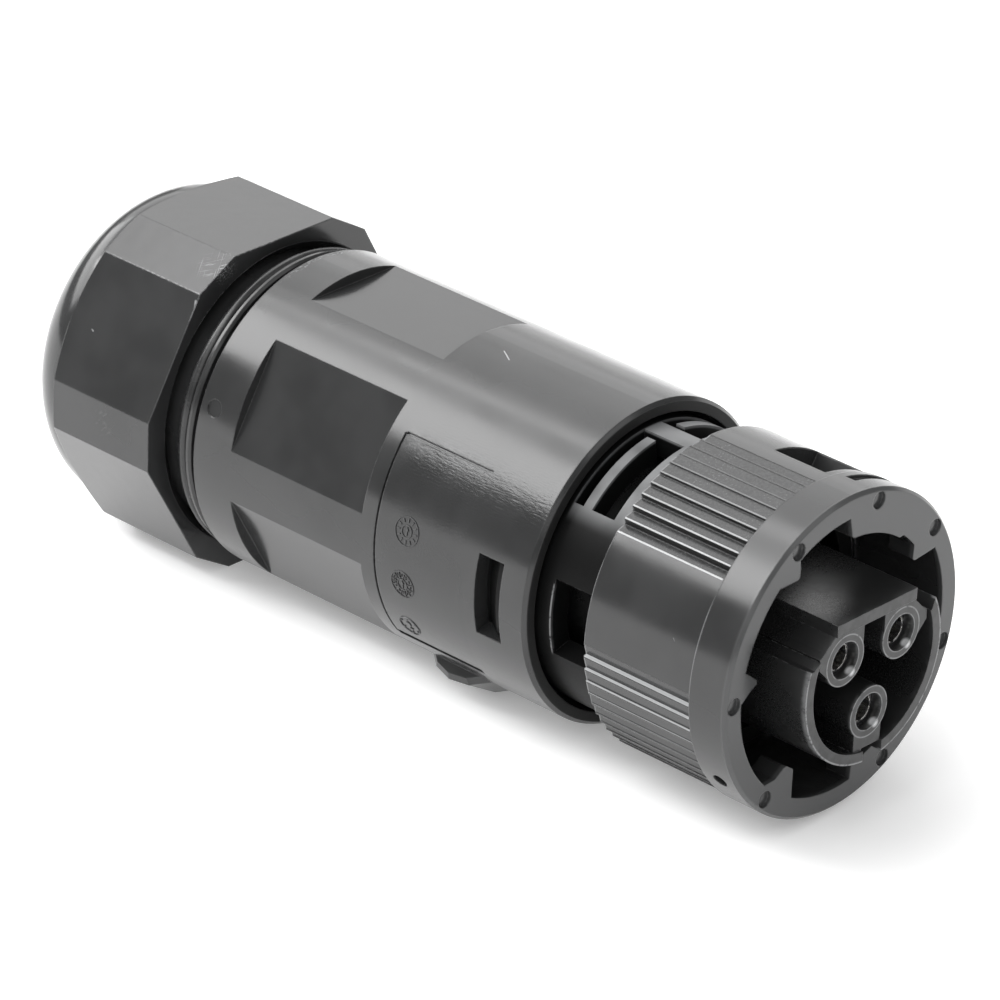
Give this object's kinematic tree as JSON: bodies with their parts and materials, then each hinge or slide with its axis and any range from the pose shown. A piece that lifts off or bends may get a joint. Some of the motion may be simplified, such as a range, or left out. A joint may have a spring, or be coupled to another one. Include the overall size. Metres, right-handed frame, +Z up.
{
  "type": "inverter ac connector",
  "caption": "Round three-pole AC field connector with socket contacts, bayonet coupling ring and cable gland, for solar inverters.",
  "frame": {"origin": "on the connector's axis, in the plane of the coupling ring's front face", "axes": "+X out of the mating face along the connector's axis, +Z up with the gland nut lying on one of its flats"},
  "size_m": [0.1169, 0.0444, 0.0416],
  "materials": {
    "housing_plastic": "satin moulded black",
    "ring_plastic": "satin moulded black",
    "nut_plastic": "satin moulded black",
    "slip_plastic": "smooth natural grey",
    "cage_plastic": "moulded black",
    "insulator_plastic": "moulded black",
    "seal_rubber": "smooth black rubber",
    "contact_silver": "silver plated",
    "spring_steel": "dark spring steel",
    "screw_steel": "zinc plated"
  },
  "bodies": {
    "connector_body": {"body_sleeve": "housing_plastic", "front_housing": "housing_plastic", "clamp_cage": "cage_plastic", "contact_tower": "insulator_plastic", "terminal_holder": "insulator_plastic", "gland_seal": "seal_rubber", "interface_seal": "seal_rubber", "housing_o_ring": "seal_rubber", "neck_o_ring": "seal_rubber", "retaining_ring": "spring_steel", "detent_spring": "spring_steel", "socket_contact_1": "contact_silver", "contact_spring_1": "spring_steel", "terminal_screw_1": "screw_steel", "socket_contact_2": "contact_silver", "contact_spring_2": "spring_steel", "terminal_screw_2": "screw_steel", "socket_contact_3": "contact_silver", "contact_spring_3": "spring_steel", "terminal_screw_3": "screw_steel"},
    "coupling_ring": {"coupling_ring": "ring_plastic"},
    "slip_ring": {"slip_ring": "slip_plastic"},
    "gland_nut": {"gland_nut": "nut_plastic"}
  },
  "joints": [
    {"name": "ring_turn", "type": "hinge", "parent": "connector_body", "child": "coupling_ring", "pos_m": [0, 0, 0], "axis": [1, 0, 0], "range_deg": [0, 40]},
    {"name": "nut_travel", "type": "slide", "parent": "connector_body", "child": "slip_ring", "axis": [1, 0, 0], "range_m": [-0.00401, 0.00101]},
    {"name": "nut_turn", "type": "hinge", "parent": "slip_ring", "child": "gland_nut", "pos_m": [-0.098, 0, 0], "axis": [1, 0, 0], "range_deg": [-720, 180]}
  ],
  "couplings": [
    {"joint": "nut_travel", "follows": "nut_turn", "m_per_rad": 0.00031831}
  ]
}
